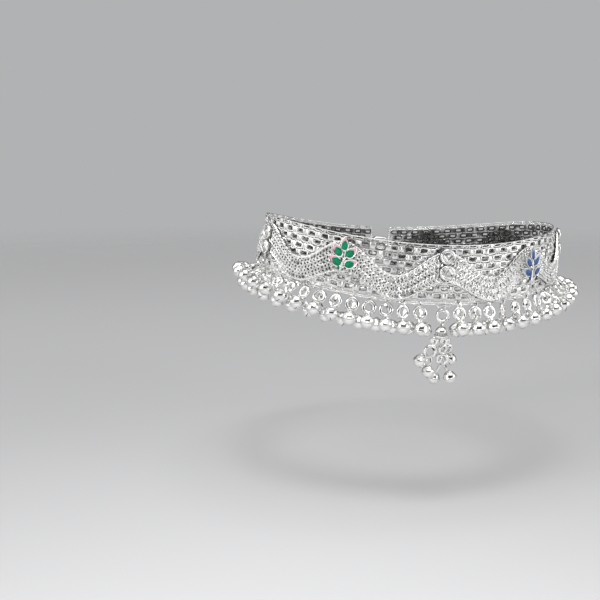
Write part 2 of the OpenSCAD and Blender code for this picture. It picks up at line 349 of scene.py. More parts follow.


# Each with its clean colour, its painted shade colour for recesses, its roughness and the size of its
# scratches
SILVER_MESH = silver("mesh_silver", (0.94, 0.935, 0.92), (0.08, 0.08, 0.078), 0.26, 0.25)
SILVER_PADS = silver("pad_silver", (0.88, 0.875, 0.865), (0.08, 0.08, 0.078), 0.34, 0.25)
SILVER_LINKS = silver("lattice_silver", (0.96, 0.955, 0.94), (0.07, 0.07, 0.068), 0.29, 0.2)
SILVER_BRIGHT = silver("bright_silver", (0.95, 0.945, 0.93), (0.08, 0.08, 0.078), 0.17, 0.3)
# Each with the two tones of its body, and its tip
GREEN = enamel("green_enamel_glass", (0.0, 0.16, 0.07), (0.0, 0.27, 0.12), (0.83, 0.4, 0.52))
BLUE = enamel("blue_enamel_glass", (0.02, 0.06, 0.19), (0.045, 0.12, 0.33), (0.26, 0.42, 0.64))


# Faces that meet at more than this angle show an edge
SHARP = math.radians(50)


def linked(name, data):
    """Object in the scene from a mesh, a light or a camera."""
    obj = bpy.data.objects.new(name, data)
    bpy.context.scene.collection.objects.link(obj)
    return obj


def make_piece(name, shapes, nodes, material=SILVER_BRIGHT, body="anklet"):
    """Mesh object from shapes in millimetres, which rides on a body and stands for CAD nodes."""
    points, recess, quads, triangles = joined(shapes)
    mesh = bpy.data.meshes.new(name)
    mesh.vertices.add(len(points))
    mesh.vertices.foreach_set("co", (points * MM).astype(np.float32).ravel())
    mesh.loops.add(quads.size + triangles.size)
    corners = np.concatenate([quads.ravel(), triangles.ravel()])
    mesh.loops.foreach_set("vertex_index", corners.astype(np.int32))
    mesh.polygons.add(len(quads) + len(triangles))
    starts = np.concatenate([np.arange(len(quads)) * 4, quads.size + np.arange(len(triangles)) * 3])
    mesh.polygons.foreach_set("loop_start", starts.astype(np.int32))
    mesh.update(calc_edges=True)
    mesh.shade_smooth()
    mesh.set_sharp_from_angle(angle=SHARP)
    mesh.attributes.new("recess", "FLOAT", "POINT").data.foreach_set("value", recess.astype(np.float32))
    mesh.materials.append(material)
    obj = linked(name, mesh)
    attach(obj, body)
    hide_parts(*nodes)


# Mesh band: rounded square links in brick rows, joined by flat pads and small rings

COLUMNS = 62
ROWS = 7
EDGE_ROW = 1.0
PITCH = 2 * BAND_END / COLUMNS
ROW_H = (BAND_H - 2 * EDGE_ROW) / ROWS
WINDOW_W, WINDOW_H = 2.2, 1.25
LINK_WIRE = 0.46
# Wire radius of a window's inner rim, darkened by painted shade, and how far behind the link it lies
INNER_RIM, RIM_BEHIND = 0.24, 0.34
WINDOW_TAPER = 0.09
# Half width, half height and wire radius of an edge link and of the ring under a pad
EDGE_LINK, NOTCH = (1.3, 0.34, 0.15), (0.4, 0.5, 0.17)
NOTCH_IN = 0.05
EDGE_RING_OD, EDGE_RING_WIRE = 0.98, 0.36
EDGE_WIRE = 0.28
END_BAR_R = 0.45
# Gaps beside a rim or a border wire, and at the band's ends
RIM_GAP, END_GAP = 0.02, 0.3
# How near to the end the last link's middle may lie, in pitches
LAST_LINK, LAST_EDGE_LINK = 0.4, 0.2
# How far out from the wall's middle the links lie
LINK_OUT, PAD_OUT, EDGE_LINK_OUT, BORDER_OUT, EDGE_RING_OUT = 0.12, 0.14, 0.16, 0.2, 0.22
OUT_SPREAD, ALONG_SPREAD = 0.05, 0.08
# Spread of the small turns about z, x and y, in degrees
LINK_TILT, EDGE_LINK_TILT, PAD_TILT, EDGE_RING_TILT = (4, 4, 3), (3, 2, 1), (9, 5, 3), (6, 6, 3)
# How far inside its edges the lattice's painted shadow falls on the mesh, and how deep
COVER_INSET, COVER_DEPTH = 0.6, 0.1
# A link carries painted shade that darkens inward, from this far outside the wall's middle and over this
# depth
DARK_FROM, DARK_OVER = 0.3 * WALL_OUT, 0.7 * WALL_OUT


def wave(s):
    """Height of the wave from -1 to 1 at a length along the band."""
    return np.cos(2 * math.pi * np.asarray(s) / WAVE_LENGTH)


def rim_at(s):
    return RIM_MID + RIM_SWING * wave(s)


def base_at(s):
    return BASE_MID + BASE_SWING * wave(s)


def covered(points):
    """Whether points of the band lie behind the lattice."""
    s, v = points[:, 0], points[:, 2]
    return (v < rim_at(s) - COVER_INSET) & (v > base_at(s) + COVER_INSET)


def paint_band_shade(shape):
    """Paints shade on a mesh link, darker towards its inner side, and a painted shadow behind the lattice."""
    points, _, quads, triangles = shape
    depth = np.clip((points[:, 1] + DARK_FROM) / DARK_OVER, 0, 1)
    depth = np.where(covered(points) & (points[:, 1] < COVER_DEPTH), 1.0, depth)
    return points, depth, quads, triangles


def brick_places(half_step):
    """Places (along, up, row) of the windows, or of the pads half a pitch further."""
    places = []
    for row in range(ROWS):
        v = EDGE_ROW + (row + 0.5) * ROW_H
        shift = 0.5 * (row % 2) + half_step
        for column in range(COLUMNS):
            s = -BAND_END + (column + 0.5 + shift) * PITCH
            if s < BAND_END - LAST_LINK * PITCH:
                places.append((s, v, row))
    return np.array(places)


def mesh_band():
    """Window links with the small links of both edges, pads, and the border wires with their rings."""
    windows = brick_places(0)
    pads = brick_places(0.5)
    shapes = []
    for parity, taper in ((0, -WINDOW_TAPER), (1, WINDOW_TAPER)):
        places = windows[windows[:, 2] % 2 == parity]
        path = oval_path((WINDOW_W + LINK_WIRE) / 2, (WINDOW_H + LINK_WIRE) / 2, 16, 4.0)
        path[:, 0] *= 1 + taper * np.sign(path[:, 2])
        count = len(places)
        offsets = columns(places[:, 0], rng.normal(-LINK_OUT, OUT_SPREAD, count), places[:, 1])
        offsets[:, 0] += rng.normal(0, ALONG_SPREAD, count)
        shapes.append(repeated(tube(path, LINK_WIRE / 2, 5), offsets, tilts(count, *LINK_TILT)))
        rim = tube(oval_path(WINDOW_W / 2 - RIM_GAP, WINDOW_H / 2 - RIM_GAP, 12, 4.0), INNER_RIM, 4)
        shapes.append(repeated(rim, offsets + (0, RIM_BEHIND, 0), tilts(count, *LINK_TILT)))
    half_w, half_h, wire_r = EDGE_LINK
    edge_link = tube(oval_path(half_w, half_h, 16, 3.0), wire_r, 5)
    for side in (-1, 1):
        v = BAND_H / 2 + side * (BAND_H - EDGE_ROW) / 2
        s = -BAND_END + (np.arange(COLUMNS) + (0.5 if side < 0 else 1.0)) * PITCH
        s = s[s < BAND_END - LAST_EDGE_LINK * PITCH]
        offsets = columns(s, -EDGE_LINK_OUT, v)
        shapes.append(repeated(edge_link, offsets, tilts(len(s), *EDGE_LINK_TILT)))
    links = paint_band_shade(joined(shapes))
    make_piece("mesh_links", [bent(links)], ["mesh_band"], SILVER_MESH)

    pad_shape = joined([pad(), placed(notch_ring(), (0, NOTCH_IN, -ROW_H / 2))])
    count = len(pads)
    offsets = columns(pads[:, 0], rng.normal(-PAD_OUT, OUT_SPREAD, count), pads[:, 1])
    pad_shapes = paint_band_shade(repeated(pad_shape, offsets, tilts(count, *PAD_TILT)))
    make_piece("mesh_pads", [bent(pad_shapes)], ["mesh_band"], SILVER_PADS)

    edges = []
    for side in (-1, 1):
        v = BAND_H / 2 + side * (BAND_H - EDGE_ROW) / 2
        s = -BAND_END + (np.arange(COLUMNS + 1) + (0.0 if side < 0 else 0.5)) * PITCH
        s = s[(s > -BAND_END + END_GAP) & (s < BAND_END - END_GAP)]
        offsets = columns(s, -EDGE_RING_OUT, v)
        edge_ring = ring(EDGE_RING_OD, EDGE_RING_WIRE, 10, 5)
        edges.append(repeated(edge_ring, offsets, tilts(len(s), *EDGE_RING_TILT)))
        s = np.linspace(-BAND_END + END_GAP, BAND_END - END_GAP, 500)
        inset = EDGE_WIRE / 2 + RIM_GAP
        line = columns(s, -BORDER_OUT, BAND_H if side > 0 else 0.0)
        edges.append(tube(line - (0, 0, side * inset), EDGE_WIRE / 2, 6, closed=False))
        height = np.linspace(END_BAR_R, BAND_H - END_BAR_R, 12)
        bar = columns(side * (BAND_END - END_BAR_R), 0, height)
        edges.append(tube(bar, END_BAR_R, 8, closed=False))
    make_piece("mesh_edges", [bent(x) for x in edges], ["mesh_band"])


def pad():
    """Flat link between two windows: two side wires with a shallow face between them."""
    half_w, half_h, back_at = 0.95, 0.82, 0.28
    across = np.array([-1, -0.86, -0.6, -0.36, 0, 0.36, 0.6, 0.86, 1]) * half_w
    front = -np.array([0, 0.2, 0.27, 0.17, 0.13, 0.17, 0.27, 0.2, 0])
    rings = []
    for share in (-1, -0.8, 0, 0.8, 1):
        waist = 1 - 0.12 * (1 - share * share)
        rise = 0.35 if abs(share) == 1 else 1.0
        face = columns(across * waist, front * rise, share * half_h)
        back = columns(across[::-1] * waist, back_at, share * half_h)
        rings.append(np.concatenate([face, back[[0, 4, 8]]]))
    return loft(rings)


def notch_ring():
    """Small upright ring under a pad, with a dark notch in it."""
    half_w, half_h, wire_r = NOTCH
    return tube(oval_path(half_w, half_h, 10, 2.4), wire_r, 5)


# Wave lattice: rows of slanting links, left and right by turns, between a rim rope and a base rope

LATTICE_ROWS = 6
LATTICE_PITCH = 1.12
LATTICE_END = BAND_END - 0.6
LATTICE_MIDDLE = -(LATTICE_IN + LATTICE_OUT) / 2
# Half length and half width of a link, and the radius of its wire
LATTICE_LINK = (0.52, 0.38, 0.23)
LINK_LEAN, LINK_ROLL, LINK_TURN_SPREAD = math.radians(30), math.radians(22), 0.12
LINK_PLACE_SPREAD = 0.04
# Most painted shade on a lattice link, on its side towards the band
LATTICE_RECESS = 0.58
# How far the rows keep from the base, the rim and the ends
FROM_BASE, FROM_RIM, FROM_END = 0.55, 0.75, 0.8
ROPE_STEPS = 11
# One row a rope: its line, height above it, spread, depth, wire radius, twist and hand
ROPES = [(rim_at, -0.38, 0.15, 0.17, 0.22, 2.4, 1), (base_at, 0.3, 0.12, 0.12, 0.17, 2.0, -1)]


def rope(line, above, spread, depth, strand, twist, hand):
    """Two strands twisted round a line on the band, one turn each twist millimetres."""
    turns = 2 * LATTICE_END / twist
    phase = np.linspace(0, 2 * math.pi * turns, int(turns * ROPE_STEPS))
    s = np.linspace(-LATTICE_END, LATTICE_END, len(phase))
    middle = line(s) + above
    strands = []
    for start in (0, math.pi):
        front = np.cos(phase + start)
        v = middle + hand * spread * np.sin(phase + start)
        path = columns(s, LATTICE_MIDDLE - depth * front, v)
        strands.append(tube(path, strand, 6, closed=False))
    return joined(strands)


def lattice_row(row):
    """One row of links between the base and the rim."""
    half_l, half_w, wire_r = LATTICE_LINK
    link = tube(oval_path(half_w, half_l, 12), wire_r, 5)

    def height(s):
        low, high = base_at(s) + FROM_BASE, rim_at(s) - FROM_RIM
        return low + (high - low) * (row + 0.5) / LATTICE_ROWS

    along = np.linspace(FROM_END - LATTICE_END, LATTICE_END - FROM_END, 2000)
    run = np.concatenate([[0], np.cumsum(np.hypot(np.diff(along), np.diff(height(along))))])
    steps = np.arange(rng.uniform(0, 1) * LATTICE_PITCH, run[-1], LATTICE_PITCH)
    s = np.interp(steps + rng.normal(0, LINK_PLACE_SPREAD, len(steps)), run, along)
    slope = np.arctan((height(s + 0.05) - height(s - 0.05)) / 0.1)
    tall = (rim_at(s) - base_at(s) - (FROM_BASE + FROM_RIM)) / LATTICE_ROWS / (2 * half_l)
    lean = slope + LINK_LEAN * (-1) ** row + rng.normal(0, LINK_TURN_SPREAD, len(s))
    roll = LINK_ROLL + rng.normal(0, LINK_TURN_SPREAD, len(s))
    matrices = np.array([
        turned("y", -a) @ turned("z", b) @ np.diag([1, 1, k]) for a, b, k in zip(lean, roll, tall)
    ])
    offsets = columns(s, rng.normal(LATTICE_MIDDLE, LINK_PLACE_SPREAD, len(s)), height(s))
    return repeated(link, offsets, matrices)


def wave_lattice():
    """All rows of links, with painted shade towards the band, and the two ropes."""
    points, _, quads, triangles = joined([lattice_row(row) for row in range(LATTICE_ROWS)])
    recess = np.clip((points[:, 1] - LATTICE_MIDDLE + 0.05) / 0.5, 0, LATTICE_RECESS)
    links = (points, recess, quads, triangles)
    make_piece("lattice_links", [bent(links)], ["wave_lattice"], SILVER_LINKS)
    edges = [bent(rope(*row)) for row in ROPES]
    make_piece("lattice_edges", edges, ["wave_lattice"])


# Double rings: two domed coils, each with a bud in a V that points at the other

# One row a double ring: its crest of the wave, and how much lower than the others it sits
DOUBLE_RINGS = [(-4, 0), (-2, 1.8), (0, 0), (2, 0), (4, 0)]
UPPER_COIL_V, LOWER_COIL_V = 13.35, 8.85
COIL_R, COIL_WIRE, COIL_OUT = 1.8, 0.7, 0.36
INNER_COIL_R, INNER_COIL_WIRE, INNER_COIL_OUT = 1.3, 0.28, 0.5
# How far the plate behind a coil, which paints a shadow round it, stands out past the coil's middle line
SHADE_PAST = 0.48
VEE = [(-1.3, 0.3), (-0.95, -0.15), (-0.45, -0.8), (0, -1.3), (0.45, -0.8), (0.95, -0.15), (1.3, 0.3)]
VEE_WIRE_R, VEE_OUT = 0.27, 0.62
BUD_HALF_W, BUD_HALF_H, BUD_OFF_MIDDLE = 0.28, 0.42, 0.2
# Layers, each a scale and a depth, of a coil's disc, of the plate behind it and of the bud
DISC_LAYERS = [(1.0, 0.0), (1.0, -0.18), (0.85, -0.3), (0.5, -0.42), (0.2, -0.46)]
SHADE_LAYERS = [(1.0, 0.1), (1.0, -0.08), (0.9, -0.12)]
BUD_LAYERS = [(1.0, -0.4), (0.9, -0.7), (0.5, -0.84), (0.15, -0.88)]
# Painted shade on the disc, and the darker painted shadow on the plate behind it
DISC_RECESS, SHADE_RECESS = 0.52, 0.7


def coil(point_down):
    """Domed disc with painted shade and two round wires, a plate behind that paints a shadow round them, and
    a bud in a V that points at the other coil.
    """
    circle = oval_path(1, 1, 24)[:, [0, 2]]
    disc = plate(circle * COIL_R, DISC_LAYERS, DISC_RECESS)
    shade = plate(circle * (COIL_R + SHADE_PAST), SHADE_LAYERS, SHADE_RECESS)
    outer = tube(oval_path(COIL_R, COIL_R, 32), COIL_WIRE / 2, 8)
    outer = placed(outer, (0, -COIL_OUT, 0))
    inner = tube(oval_path(INNER_COIL_R, INNER_COIL_R, 26), INNER_COIL_WIRE / 2, 6)
    inner = placed(inner, (0, -INNER_COIL_OUT, 0))
    arms = tube([(x, -VEE_OUT, z) for x, z in VEE], VEE_WIRE_R, 6, closed=False)
    arms = placed(arms, ORIGIN, turned("y", 0 if point_down else math.pi))
    bud = plate(oval_path(BUD_HALF_W, BUD_HALF_H, 12)[:, [0, 2]], BUD_LAYERS)
    bud = placed(bud, (0, 0, BUD_OFF_MIDDLE if point_down else -BUD_OFF_MIDDLE))
    return joined([shade, disc, outer, inner, arms, bud])


def double_rings():
    """Two coils, one above the other, on every second crest."""
    for number, (crest, lower) in enumerate(DOUBLE_RINGS, 1):
        s = crest * WAVE_LENGTH
        shapes = [
            placed(coil(True), (s, -TRIM_IN, UPPER_COIL_V - lower)),
            placed(coil(False), (s, -TRIM_IN, LOWER_COIL_V - lower)),
        ]
        make_piece(f"coils_{number}", [bent(x) for x in shapes], [f"double_ring_{number}"])


# Leaf sprigs: silver cells filled with enamel

GREEN_CRESTS, BLUE_CRESTS = [-1, 3], [-3, 1]
GREEN_V, BLUE_V = 10.7, 9.3
# Width of the blue leaves, as a share of the green ones
BLUE_SLIM = 0.82
# One row a leaf: across, up, turn to the left in degrees, length and width of its enamel
LEAVES = [
    (0.15, 3.2, 0, 3.8, 1.8),
    (-1.75, 1.1, 32, 3.7, 2.1),
    (2.1, 1.05, -42, 3.7, 2.05),
    (-2.25, -1.9, 60, 3.8, 2.3),
    (2.2, -2.1, -62, 3.6, 2.05),
]
# One row a stalk: across and up at the stem, and the number of its leaf
STALKS = [(0.3, 0.9, 0), (-0.1, -1.1, 1), (0.25, -1.2, 2), (-0.5, -3.3, 3), (-0.35, -3.7, 4)]
STEM = [(0.3, 1.1), (0.3, 0.0), (0.15, -1.2), (-0.2, -2.6), (-0.55, -3.7), (-0.8, -4.4)]
# Small enamel strips beside the stem, as outlines across and up
STRIPS = [
    [(0.42, -0.6), (0.85, -0.2), (0.95, 0.9), (0.8, 1.75), (0.5, 0.9)],
    [(-1.15, -4.5), (-0.95, -3.4), (-0.5, -2.0), (-0.75, -1.4), (-1.2, -2.4), (-1.45, -3.6)],
]
# Length of a leaf's full-coloured part, as a share of the whole, and its shift towards the stem
BODY_SHARE, BODY_SHIFT = 0.76, 0.11
# How far out the stem, the base of the enamel and the top of the cell's wire lie
STEM_OUT, FILL_OUT, CELL_OUT = 0.45, 0.46, 0.62
CELL_WIRE_R, STALK_R = 0.16, 0.17
# Wire radius of the stem at its two ends, and size of a cell's wire as shares of its leaf
STEM_R, CELL_WIDER, CELL_LONGER = (0.2, 0.3), 1.08, 1.05
# Width of the pale tip as a share of the leaf's, and where it starts and ends in its half length
TIP_SLIM, TIP_LOW, TIP_HIGH = 0.94, 0.05, 0.95
# Layers, each a scale and a depth, of a cell's back and of its enamel's parts
BACK_LAYERS = [(1.16, 0.0), (1.16, -0.42), (1.0, -0.5)]
BODY_LAYERS = [(1.0, -FILL_OUT), (0.98, -0.68), (0.8, -0.76), (0.4, -0.8)]
TIP_LAYERS = [(1.0, -FILL_OUT), (0.96, -0.62), (0.7, -0.68)]
STRIP_LAYERS = [(1.0, -0.3), (1.0, -0.72), (0.85, -0.8)]
# By how much a leaf narrows along its length, and where its point starts and narrows more
LEAF_NARROWS, POINT_FROM, POINT_NARROWS = 0.28, 0.4, 0.55
# A stalk reaches its leaf this far from the leaf's middle, as a share of its length
STALK_REACH = 0.46
LEAF_STEPS = 12


def leaf_outline(length, width, low=-1.0, high=1.0):
    """Drop-shaped outline, round at its base and pointed at its tip, from low to high of its half length."""
    z = low + (high - low) * (1 - np.cos(np.linspace(0, math.pi, LEAF_STEPS))) / 2
    half = 0.5 * width * np.sqrt(np.clip(1 - z * z, 0, 1)) * (1 - LEAF_NARROWS * z)
    point = np.clip((z - POINT_FROM) / (1 - POINT_FROM), 0, 1)
    half = half * np.where(z > POINT_FROM, 1 - POINT_NARROWS * point ** 2, 1)
    right = np.stack([half, z * length / 2], 1)
    left = np.stack([-half, z * length / 2], 1)[::-1]
    points = np.concatenate([right, left])
    keep = np.linalg.norm(points - np.roll(points, 1, 0), axis=1) > 0.005
    return points[keep]


def sprigs(kind, crests, v, glass, slim=1.0):
    """Sprigs of one colour: their silver cells and stem, and the enamel in them."""
    for number, crest in enumerate(crests, 1):
        place = (crest * WAVE_LENGTH, -TRIM_IN, v)
        metal, fill = [], []
        for across, up, angle, length, width in LEAVES:
            turn = turned("y", -math.radians(angle))
            where = (across, 0, up)
            width = slim * width
            whole = leaf_outline(length, width)
            edge = columns(whole[:, 0] * CELL_WIDER, -CELL_OUT, whole[:, 1] * CELL_LONGER)
            metal.append(placed(plate(whole, BACK_LAYERS), where, turn))
            metal.append(placed(tube(edge, CELL_WIRE_R, 6), where, turn))
            leaf = leaf_outline(BODY_SHARE * length, width) - (0, BODY_SHIFT * length)
            tip = leaf_outline(length, width * TIP_SLIM, TIP_LOW, TIP_HIGH)
            fill.append(placed(plate(leaf, BODY_LAYERS), where, turn))
            fill.append(placed(plate(tip, TIP_LAYERS, recess=1.0), where, turn))
        stem = np.array([(x, -STEM_OUT, z) for x, z in STEM])
        metal.append(tube(stem, np.linspace(*STEM_R, len(stem)), 7, closed=False))
        for x, z, leaf in STALKS:
            across, up, angle, length, _ = LEAVES[leaf]
            reach, angle = STALK_REACH * length, math.radians(angle)
            joint = (across + reach * math.sin(angle), -STEM_OUT, up - reach * math.cos(angle))
            path = np.linspace((x, -STEM_OUT, z), joint, 4)
            metal.append(tube(path, STALK_R, 6, closed=False))
        for strip in STRIPS:
            fill.append(plate(strip, STRIP_LAYERS))
        metal, fill = ([bent(placed(x, place)) for x in shapes] for shapes in (metal, fill))
        make_piece(f"{kind}_cells_{number}", metal, [f"{kind}_sprig_{number}"])
        make_piece(f"{kind}_glaze_{number}", fill, [f"{kind}_enamel_{number}"], glass)


# Bell fringe: a ring pair under the edge for each pitch, and two bells on it

SECTORS = 9
RINGS_PER_SECTOR = 3
RING_PITCH = 4.62
FRONT_START = 2.0
RING_OD, RING_WIRE = 4.2, 0.75
BELL_D = 4.3
LEAN_SIDES, LEAN_FRONT, LEAN_BACK = math.radians(6), math.radians(56), math.radians(40)
RAIL_V, RAIL_D = -0.45, 0.36
RING_DOWN = 2.5
FRONT_BELL = np.array([0, -1.9, -6.95])
BACK_BELL = np.array([0, 2.5, -7.2])
# Further across for the back bell, by its ring's length along the band
BACK_ACROSS = [(-1, 2.1), (0, 0), (18.5, 0), (37, 2.1)]
SECOND_RING = np.array([0.35, 0.75, -2.55])
SECOND_OD, SECOND_WIRE, SECOND_HOLD = 4.1, 0.95, 1.65
# Share by which a ring narrows towards its top
NARROWING = 0.12
BELL_TILT, BELL_LOOP_TURN = 0.2, 0.35
# Spread of a bell's place, and the most of it
BELL_SPREAD, BELL_SPREAD_MAX = 0.07, 0.1
# Half width and wire radius of a bell's loop
FRINGE_LOOP, DROP_LOOP = (0.72, 0.26), (0.8, 0.28)
# Rows of a lower half shell from end to end, and steps from its edge to the slit
SLIT_ROWS, SLIT_STEPS = 10, 7
# The slit's half width, its end as an angle, and the share of its width that stays open past it
SLIT_HALF_W, SLIT_END, SLIT_CLOSED = 0.05, math.radians(40), 0.02
JUMP_HALF_W, JUMP_HALF_H, JUMP_WIRE_R, JUMP_DOWN = 0.66, 1.0, 0.26, 0.3
# How much wider and thicker the facing ring is drawn than the part has it
MORE_OD, MORE_WIRE = 0.15, 0.4
# Spread of the jump ring's turn in radians, and of the other rings' about z and x in degrees
JUMP_SPREAD, RING_SPREAD, SECOND_SPREAD = 0.3, (13, 5), (14, 8)
SECOND_TURN = 50
# How far above the rail's place it is drawn, and how far it stops before a joint
RAIL_UP, RAIL_INSET = 0.12, 0.15


def ring_at(side, n):
    """Length along the band of ring n of a half. Side is -1 towards the front and 1 towards the back."""
    return side * n * RING_PITCH - (FRONT_START if side < 0 else 0)


def joint_at(side, n):
    """Length of the rail's joint after ring n."""
    if n == 0:
        return side * RING_PITCH / 2
    return side * min(abs(ring_at(side, n + 0.5)), BAND_END)


def lean_at(s):
    """How far the fringe leans outward at a length along the band."""
    toward_back = math.cos(float(turn_at(s)))
    front, back = max(0.0, -toward_back) ** 3, max(0.0, toward_back) ** 3
    return LEAN_SIDES + (LEAN_FRONT - LEAN_SIDES) * front + (LEAN_BACK - LEAN_SIDES) * back


def shell(diameter):
    """Bell of two half shells with a seam, a slit below and a cap on top, with painted shade in the seam, the
    slit and a core inside.
    """
    r = diameter / 2
    wall = 0.96 * r
    lip = 0.16
    profile = [(wall * math.cos(a), wall * math.sin(a)) for a in np.radians([18, 32, 46, 60, 74, 87])]
    shapes = [
        lathe([(0.9 * r, 0.06), (r, 0.07), (r, lip), (wall, lip + 0.05), *profile], 20),
        lathe([(0.9 * r, -0.06), (r, -0.07), (r, -lip), (wall, -lip - 0.05)], 20),
        # The seam's groove carries painted shade
        lathe([(0.92 * r, -0.09), (0.92 * r, 0.09)], 20, recess=1.0),
        *slit_half(wall),
    ]
    # A core inside the lower half, all painted shade, shows dark through the slit
    core = [(0.88 * r * math.cos(a), -0.88 * r * math.sin(a)) for a in np.radians([0, 30, 60, 86])]
    shapes.append(lathe(core, 12, recess=1.0))
    shapes.append(lathe([(0.55, wall - 0.12), (0.5, wall + 0.08), (0.2, wall + 0.2)], 10))
    return joined(shapes)


def bell(diameter, centre, held, half_w, wire_r):
    """Bell at centre that hangs nearly upright, with a loop on top that holds its ring at held."""
    lean = turned("x", rng.normal(0, BELL_TILT)) @ turned("y", rng.normal(0, BELL_TILT))
    lean = lean @ turned("z", rng.uniform(0, math.pi))
    low = 0.4 * diameter
    high = np.linalg.norm(held - centre) + 0.5
    loop = tube(oval_path(half_w, (high - low) / 2, 16), wire_r, 6)
    loop_turn = turned("z", math.pi / 2 + rng.normal(0, BELL_LOOP_TURN))
    loop = placed(loop, (0, 0, (high + low) / 2), loop_turn)
    return joined([placed(shell(diameter), centre, lean), placed(loop, centre, hung_axes(centre, held))])


def slit_half(radius):
    """Lower half shell in two leaves, which part along a slit under the bell."""
    across = np.radians(np.linspace(-88, 88, SLIT_ROWS))
    stride = SLIT_STEPS + 1
    leaves = []
    for side in (0, 1):
        rows = []
        for lat in across:
            gap = SLIT_HALF_W * (1 if abs(lat) < SLIT_END else SLIT_CLOSED)
            steps = np.linspace(0, math.pi / 2 - gap / max(0.2, math.cos(lat)), SLIT_STEPS)
            row = [(radius * math.cos(lat) * math.cos(a), radius * math.sin(lat),
                    -radius * math.cos(lat) * math.sin(a)) for a in steps]
            inner = np.array(row[-1]) * 0.9
            rows.append([*row, tuple(inner)])
        points = np.array(rows).reshape(-1, 3)
        grid = np.meshgrid(np.arange(SLIT_ROWS - 1), np.arange(SLIT_STEPS), indexing="ij")
        first = grid[0].ravel() * stride + grid[1].ravel()
        quads = np.stack([first, first + 1, first + stride + 1, first + stride], 1)
        # The slit's edges carry painted shade, darkest on the inner lip
        recess = np.tile([0.0] * (SLIT_STEPS - 1) + [0.2, 1.0], SLIT_ROWS)
        leaf = outward((points, recess, quads, np.zeros((0, 3), int)))
        leaves.append(placed(leaf, ORIGIN, turned("z", math.pi * side)))
    return leaves


def hung_axes(centre, held):
    """Axes of a bell at centre whose loop reaches held, as the columns of a matrix."""
    up = (held - centre) / np.linalg.norm(held - centre)
    x = np.array([1.0, 0, 0]) - up * up[0]
    x = x / np.linalg.norm(x)
    return np.stack([x, np.cross(up, x), up], 1)


def drop_shaped(outer_d, wire_d, count, sides):
    """Ring that narrows towards its top."""
    r = (outer_d - wire_d) / 2
    path = oval_path(r, r, count)
    path[:, 0] *= 1 - NARROWING * path[:, 2] / r
    return tube(path, wire_d / 2, sides)


def ring_group(side, across):
    """Jump ring, facing ring, second ring and two bells under one point of the edge."""
    jump_turn = turned("z", math.pi / 2 + rng.normal(0, JUMP_SPREAD))
    jump = tube(oval_path(JUMP_HALF_W, JUMP_HALF_H, 14), JUMP_WIRE_R, 6)
    jump = placed(jump, (0, 0, -JUMP_DOWN), jump_turn)
    yaw, pitch = RING_SPREAD
    turn = turned("z", math.radians(rng.normal(0, yaw))) @ turned("x", math.radians(rng.normal(0, pitch)))
    first = placed(drop_shaped(RING_OD + MORE_OD, RING_WIRE + MORE_WIRE, 26, 8), (0, 0, -RING_DOWN), turn)
    second_at = SECOND_RING * (side, 1, 1)
    yaw, pitch = SECOND_SPREAD
    turn = turned("z", side * math.radians(SECOND_TURN + rng.normal(0, yaw)))
    turn = turn @ turned("x", math.radians(rng.normal(0, pitch)))
    second = placed(drop_shaped(SECOND_OD, SECOND_WIRE, 22, 6), second_at, turn)
    bells = (FRONT_BELL, BACK_BELL + (across, 0, 0))
    holds = [np.array([0, 0, -RING_DOWN - (RING_OD - RING_WIRE) / 2]), second_at + (0, 0, -SECOND_HOLD)]
    shapes = [jump, first, second]
    for middle, held in zip(bells, holds):
        centre = middle + np.clip(rng.normal(0, BELL_SPREAD, 3), -BELL_SPREAD_MAX, BELL_SPREAD_MAX)
        shapes.append(bell(BELL_D, centre, held, *FRINGE_LOOP))
    return joined(shapes)


def fringe():
    """Three ring groups and their stretch of the rail to a piece, nine pieces to a half."""
    for word, side in (("front", -1), ("back", 1)):
        for sector in range(1, SECTORS + 1):
            first = (sector - 1) * RINGS_PER_SECTOR + 1
            shapes = []
            for n in range(first, first + RINGS_PER_SECTOR):
                s = ring_at(side, n)
                origin = on_band([(s, 0, RAIL_V)])[0]
                across = np.interp(s, *zip(*BACK_ACROSS))
                shapes.append(placed(ring_group(side, across), origin, wall_axes(s, lean_at(s))))
            ends = joint_at(side, first - 1), joint_at(side, first + RINGS_PER_SECTOR - 1)
            inset = RAIL_INSET * side
            path = [(s, 0, RAIL_V + RAIL_UP) for s in np.linspace(ends[0] + inset, ends[1] - inset, 16)]
            shapes.append(bent(tube(path, RAIL_D / 2, 6, closed=False)))
            make_piece(f"bells_{word}_{sector}", shapes, [f"fringe_{word}_{sector}"])


# Drop: ring, cap and three strands with bells, on a bar under the near middle

PIVOT_V = -0.95
BAR_HALF = 1.9
DROP_RING_DOWN = 2.65
HOOP_OD, HOOP_WIRE = RING_OD + 0.1, RING_WIRE + 0.3
# Small rings round the bar, above the hoop, and their places across
WRAP_OD, WRAP_WIRE, WRAPS_AT = 1.4, 0.3, (-0.42, 0, 0.42)
CAP_D, CAP_H, CAP_DOWN = 4.2, 3.0, 5.8
# Profiles of the cap: rows of radius, as a share of the cap's, and height above its base
SKIRT = [(0.7, 0.25), (0.9, 0), (0.98, 0.08), (1, 0.35), (0.98, 0.55), (0.86, 0.66)]
CROWN = [(0.8, 0.6), (0.8, 1.35), (0.86, 1.45), (0.86, 1.75),
         (0.76, 2.2), (0.6, 2.6), (0.36, 2.9), (0.2, 3.0)]
# The groove round the cap, where the grains sit, carries painted shade
GROOVE, GROOVE_RECESS = [(0.82, 0.64), (0.82, 1.42)], 0.65
# The round of grains in the groove: how many, their radius, and their place in the same terms
GRAINS, GRAIN_R, GRAINS_OUT, GRAINS_UP = 16, 0.2, 0.87, 1.0
EYE_D, EYE_WIRE, EYE_DOWN = 2.6, 0.5, 4.7
DROP_BELL_D = 3.9
STRAND_WIRE = 0.6
